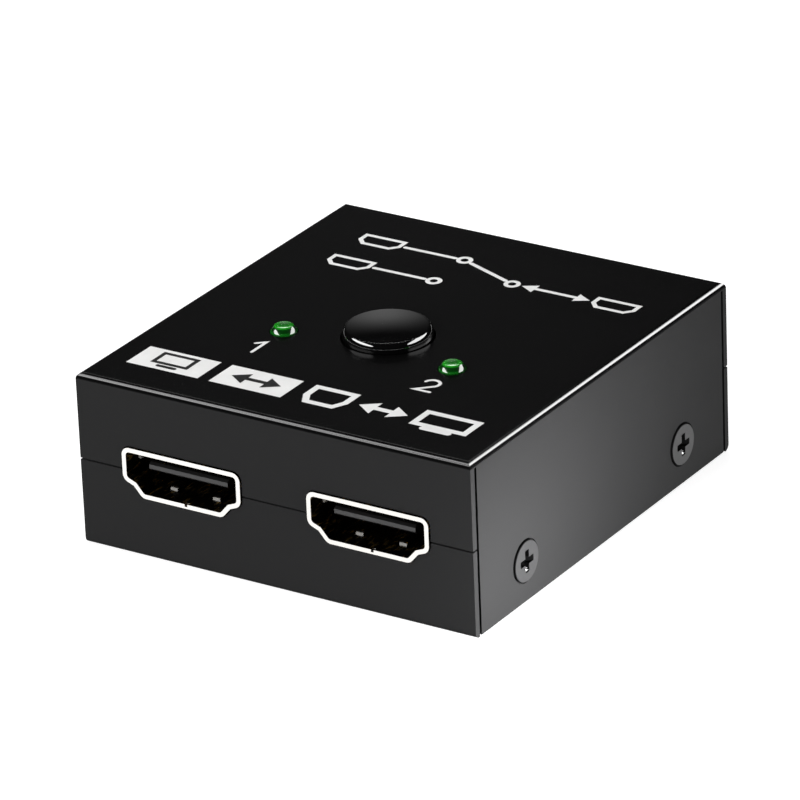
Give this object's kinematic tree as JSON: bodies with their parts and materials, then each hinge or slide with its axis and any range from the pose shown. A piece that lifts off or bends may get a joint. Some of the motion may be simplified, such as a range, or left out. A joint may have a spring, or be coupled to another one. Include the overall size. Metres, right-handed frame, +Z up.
{
  "type": "video signal switch box",
  "caption": "Small black sheet-metal switch box with digital video sockets front and back, a latching push button on top and a green indicator beside each input.",
  "frame": {"origin": "under the middle of the case, on the surface that it stands on", "axes": "+X to the right as seen from the front, +Y from the front to the back, +Z up"},
  "size_m": [0.0496, 0.0532, 0.0214],
  "materials": {
    "case_paint": "black semi-gloss paint",
    "screw_steel": "black-passivated steel, worn pale on the face",
    "board_laminate": "black solder mask",
    "standoff_brass": "turned brass",
    "board_screw_steel": "zinc-plated steel",
    "socket_shell": "nickel-plated, stamped",
    "socket_plastic": "moulded, black",
    "contact_gold": "gold flash",
    "indicator_lens": "green tinted epoxy",
    "tinned_lead": "tinned",
    "cap_plastic": "black, high gloss",
    "plunger_plastic": "natural nylon",
    "switch_plastic": "moulded, black",
    "bracket_steel": "plated steel",
    "spring_steel": "drawn spring wire",
    "blade_bronze": "rolled bronze",
    "chip_epoxy": "moulded epoxy",
    "capacitor_ceramic": "fired ceramic",
    "resistor_ceramic": "coated ceramic",
    "print_ink": "white screen print"
  },
  "bodies": {
    "case": {"top_cover": "case_paint", "bottom_tray": "case_paint", "side_screws": "screw_steel", "circuit_board": "board_laminate", "board_standoffs": "standoff_brass", "board_screws": "board_screw_steel", "port_1_shell": "socket_shell", "port_2_shell": "socket_shell", "common_port_shell": "socket_shell", "port_1_insulator": "socket_plastic", "port_2_insulator": "socket_plastic", "common_port_insulator": "socket_plastic", "port_1_contacts": "contact_gold", "port_2_contacts": "contact_gold", "common_port_contacts": "contact_gold", "led_1_lens": "indicator_lens", "led_2_lens": "indicator_lens", "led_1_leads": "tinned_lead", "led_2_leads": "tinned_lead", "switch_terminals": "tinned_lead", "chip_leads": "tinned_lead", "switch_housing": "switch_plastic", "switch_bracket": "bracket_steel", "return_spring": "spring_steel", "switch_chip": "chip_epoxy", "surge_arrays": "chip_epoxy", "capacitors": "capacitor_ceramic", "resistors": "resistor_ceramic"},
    "button": {"button_cap": "cap_plastic", "switch_plunger": "plunger_plastic", "moving_contacts": "blade_bronze"},
    "latch": {"latch_pin": "bracket_steel"}
  },
  "joints": [
    {"name": "button_press", "type": "slide", "parent": "case", "child": "button", "axis": [0, 0, -1], "range_m": [0, 0.001], "stiffness_N_per_m": 700, "springref_m": -0.001, "deforming": ["return_spring"]},
    {"name": "latch_swing", "type": "hinge", "parent": "case", "child": "latch", "pos_m": [-0.00023, 0.0004, 0.00843], "axis": [0, 1, 0], "range_deg": [0, 9.3]}
  ],
  "couplings": [
    {"joint": "latch_swing", "follows": "button_press", "rad_per_m": 161.41}
  ]
}
